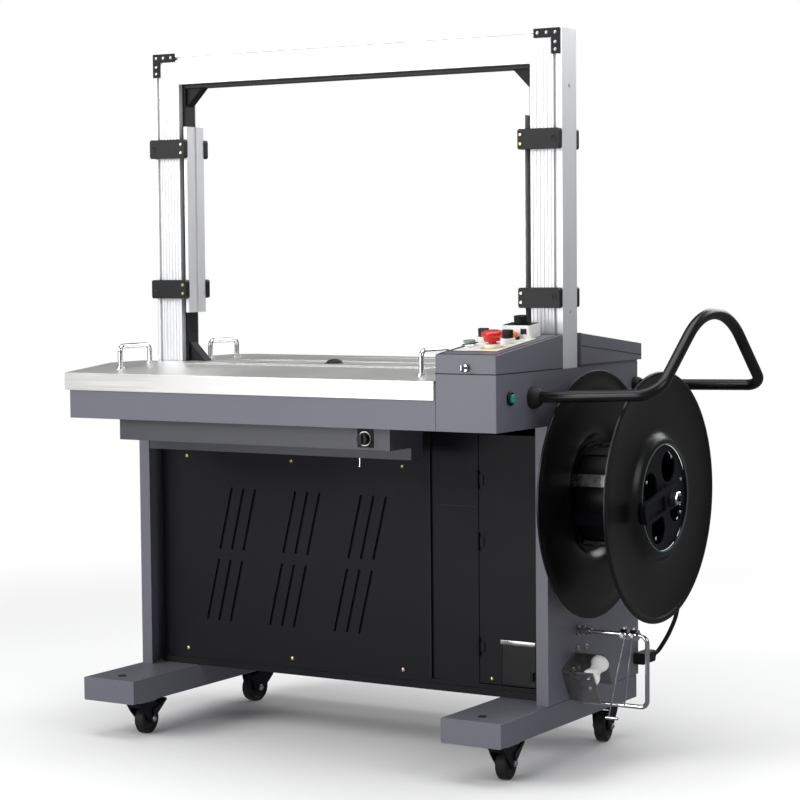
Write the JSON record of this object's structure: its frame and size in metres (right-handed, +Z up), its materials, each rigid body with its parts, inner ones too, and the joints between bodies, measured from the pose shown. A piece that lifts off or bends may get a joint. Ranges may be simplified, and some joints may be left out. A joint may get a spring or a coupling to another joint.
{
  "type": "arch strapping machine",
  "caption": "Floor-standing arch strapping machine with a lift-off steel table, tilting control lid, side strap reel with guard loop and braked casters.",
  "frame": {"origin": "centre of the machine's bounding box at floor level", "axes": "+Z up; +X towards the strap reel's side; +Y from the operator's side to the back"},
  "size_m": [1.3186, 0.6924, 1.44],
  "materials": {
    "blue_grey_paint": "satin",
    "stainless": "brushed",
    "chrome": "polished",
    "black_steel": "powder coat",
    "black_plastic": "textured",
    "anodised": "matt anodised",
    "machined_steel": "turned",
    "motor_iron": "painted",
    "rubber": "matt",
    "white_plastic": "satin",
    "red_plastic": "gloss",
    "green_plastic": "gloss"
  },
  "bodies": {
    "frame": {"foot_left": "blue_grey_paint", "foot_right": "blue_grey_paint", "side_frame_left": "blue_grey_paint", "side_frame_right": "blue_grey_paint", "table_frame": "blue_grey_paint", "control_box": "blue_grey_paint", "rear_cover": "blue_grey_paint", "lower_beam": "blue_grey_paint", "front_panels": "black_steel", "rear_panel": "black_steel", "base_tray": "black_steel", "arch_brackets": "machined_steel", "arch_left_leg": "anodised", "arch_right_leg": "anodised", "arch_side_plate": "anodised", "arch_top_beam": "anodised", "clamp_blocks": "black_plastic", "strap_gates": "anodised", "strap_guides": "black_plastic", "reel_shaft": "machined_steel", "guard_loop": "black_steel", "roller_bracket": "stainless", "rod_pivot": "black_steel", "reel_lead": "rubber", "head_block": "anodised", "drive_motor": "motor_iron"},
    "table_front": {"table_plate_front": "stainless", "handles_front": "chrome"},
    "table_rear": {"table_plate_rear": "stainless", "handles_rear": "chrome"},
    "lid": {"control_lid": "blue_grey_paint", "speed_box": "white_plastic"},
    "reel": {"reel_inner_flange": "black_plastic", "reel_outer_flange": "black_plastic", "reel_core": "black_steel", "reel_bars": "black_plastic", "reel_crank": "black_steel"},
    "start_button": {"start_button": "green_plastic"},
    "stop_button": {"stop_button": "red_plastic"},
    "selector_left": {"selector_left": "black_plastic"},
    "selector_right": {"selector_right": "black_plastic"},
    "speed_knob": {"speed_knob": "black_plastic"},
    "lid_key": {"lid_key": "chrome"},
    "side_button": {"side_button": "green_plastic"},
    "beam_dial": {"beam_dial": "black_plastic"},
    "service_door": {"service_door": "black_steel"},
    "guide_roller": {"guide_roller": "white_plastic"},
    "tension_rod": {"tension_rod": "chrome"},
    "camshaft": {"camshaft": "machined_steel"},
    "feed_roller": {"feed_roller": "rubber"},
    "brake_pedal_left": {"brake_pedal_left": "black_plastic"},
    "brake_pedal_right": {"brake_pedal_right": "black_plastic"},
    "caster_yoke_front_right": {"caster_yoke_front_right": "black_steel"},
    "caster_wheel_front_right": {"caster_wheel_front_right": "rubber"},
    "caster_yoke_front_left": {"caster_yoke_front_left": "black_steel"},
    "caster_wheel_front_left": {"caster_wheel_front_left": "rubber"},
    "caster_yoke_rear_right": {"caster_yoke_rear_right": "black_steel"},
    "caster_wheel_rear_right": {"caster_wheel_rear_right": "rubber"},
    "caster_yoke_rear_left": {"caster_yoke_rear_left": "black_steel"},
    "caster_wheel_rear_left": {"caster_wheel_rear_left": "rubber"}
  },
  "joints": [
    {"name": "table_front_lift", "type": "slide", "parent": "frame", "child": "table_front", "axis": [0, 0, 1], "range_m": [0, 0.06]},
    {"name": "table_rear_lift", "type": "slide", "parent": "frame", "child": "table_rear", "axis": [0, 0, 1], "range_m": [0, 0.06]},
    {"name": "lid_hinge", "type": "hinge", "parent": "frame", "child": "lid", "pos_m": [0.30271, -0.06025, 0.848], "axis": [-1, 0, 0], "range_deg": [0, 28]},
    {"name": "start_press", "type": "slide", "parent": "lid", "child": "start_button", "axis": [0, 0.1158, -0.9933], "range_m": [0, 0.003], "stiffness_N_per_m": 500},
    {"name": "stop_press", "type": "slide", "parent": "lid", "child": "stop_button", "axis": [0, 0.1158, -0.9933], "range_m": [0, 0.005], "stiffness_N_per_m": 600},
    {"name": "selector_left_turn", "type": "hinge", "parent": "lid", "child": "selector_left", "pos_m": [0.25621, -0.17125, 0.83506], "axis": [0, -0.1158, 0.9933], "range_deg": [-45, 45]},
    {"name": "selector_right_turn", "type": "hinge", "parent": "lid", "child": "selector_right", "pos_m": [0.31821, -0.18825, 0.83308], "axis": [0, -0.1158, 0.9933], "range_deg": [-45, 45]},
    {"name": "speed_turn", "type": "hinge", "parent": "lid", "child": "speed_knob", "pos_m": [0.30221, -0.10525, 0.84276], "axis": [0, -0.1158, 0.9933], "range_deg": [-135, 135]},
    {"name": "key_turn", "type": "hinge", "parent": "lid", "child": "lid_key", "pos_m": [0.30421, -0.32625, 0.7925], "axis": [0, 1, 0], "range_deg": [0, 90]},
    {"name": "side_press", "type": "slide", "parent": "frame", "child": "side_button", "axis": [-1, 0, 0], "range_m": [0, 0.004], "stiffness_N_per_m": 400},
    {"name": "dial_turn", "type": "hinge", "parent": "frame", "child": "beam_dial", "pos_m": [0.06721, -0.30625, 0.651], "axis": [0, 1, 0], "range_deg": [-120, 120]},
    {"name": "door_hinge", "type": "hinge", "parent": "frame", "child": "service_door", "pos_m": [0.19021, -0.08415, 0.395], "axis": [0, 0, -1], "range_deg": [0, 95]},
    {"name": "reel_spin", "type": "hinge", "parent": "frame", "child": "reel", "pos_m": [0.48621, -0.01525, 0.533], "axis": [1, 0, 0], "continuous": true},
    {"name": "roller_spin", "type": "hinge", "parent": "frame", "child": "guide_roller", "pos_m": [0.42521, -0.03627, 0.18828], "axis": [0, 0.8746, 0.4848], "continuous": true},
    {"name": "tension_swing", "type": "hinge", "parent": "frame", "child": "tension_rod", "pos_m": [0.38821, 0.00075, 0.258], "axis": [1, 0, 0], "range_deg": [-8, 35], "stiffness_Nm_per_rad": 0.3},
    {"name": "camshaft_spin", "type": "hinge", "parent": "frame", "child": "camshaft", "pos_m": [-0.18779, -0.02825, 0.69], "axis": [1, 0, 0], "continuous": true},
    {"name": "feed_spin", "type": "hinge", "parent": "frame", "child": "feed_roller", "pos_m": [-0.24779, 0.01375, 0.64], "axis": [0, 1, 0], "continuous": true},
    {"name": "swivel_front_right", "type": "hinge", "parent": "frame", "child": "caster_yoke_front_right", "pos_m": [0.33221, -0.25425, 0.07], "axis": [0, 0, 1], "continuous": true},
    {"name": "wheel_front_right", "type": "hinge", "parent": "caster_yoke_front_right", "child": "caster_wheel_front_right", "pos_m": [0.32804, -0.22454, 0.0315], "axis": [-0.9903, -0.1392, 0], "continuous": true},
    {"name": "brake_right", "type": "hinge", "parent": "caster_yoke_front_right", "child": "brake_pedal_right", "pos_m": [0.32748, -0.22058, 0.045], "axis": [-0.9903, -0.1392, 0], "range_deg": [0, 15]},
    {"name": "swivel_front_left", "type": "hinge", "parent": "frame", "child": "caster_yoke_front_left", "pos_m": [-0.53679, -0.25425, 0.07], "axis": [0, 0, 1], "continuous": true},
    {"name": "wheel_front_left", "type": "hinge", "parent": "caster_yoke_front_left", "child": "caster_wheel_front_left", "pos_m": [-0.53992, -0.22441, 0.0315], "axis": [-0.9945, -0.1045, 0], "continuous": true},
    {"name": "brake_left", "type": "hinge", "parent": "caster_yoke_front_left", "child": "brake_pedal_left", "pos_m": [-0.54034, -0.22044, 0.045], "axis": [-0.9945, -0.1045, 0], "range_deg": [0, 15]},
    {"name": "swivel_rear_right", "type": "hinge", "parent": "frame", "child": "caster_yoke_rear_right", "pos_m": [0.33221, 0.20475, 0.07], "axis": [0, 0, 1], "continuous": true},
    {"name": "wheel_rear_right", "type": "hinge", "parent": "caster_yoke_rear_right", "child": "caster_wheel_rear_right", "pos_m": [0.3369, 0.17512, 0.0315], "axis": [0.9877, 0.1564, 0], "continuous": true},
    {"name": "swivel_rear_left", "type": "hinge", "parent": "frame", "child": "caster_yoke_rear_left", "pos_m": [-0.53679, 0.20475, 0.07], "axis": [0, 0, 1], "continuous": true},
    {"name": "wheel_rear_left", "type": "hinge", "parent": "caster_yoke_rear_left", "child": "caster_wheel_rear_left", "pos_m": [-0.542, 0.17521, 0.0315], "axis": [0.9848, -0.1736, 0], "continuous": true}
  ]
}
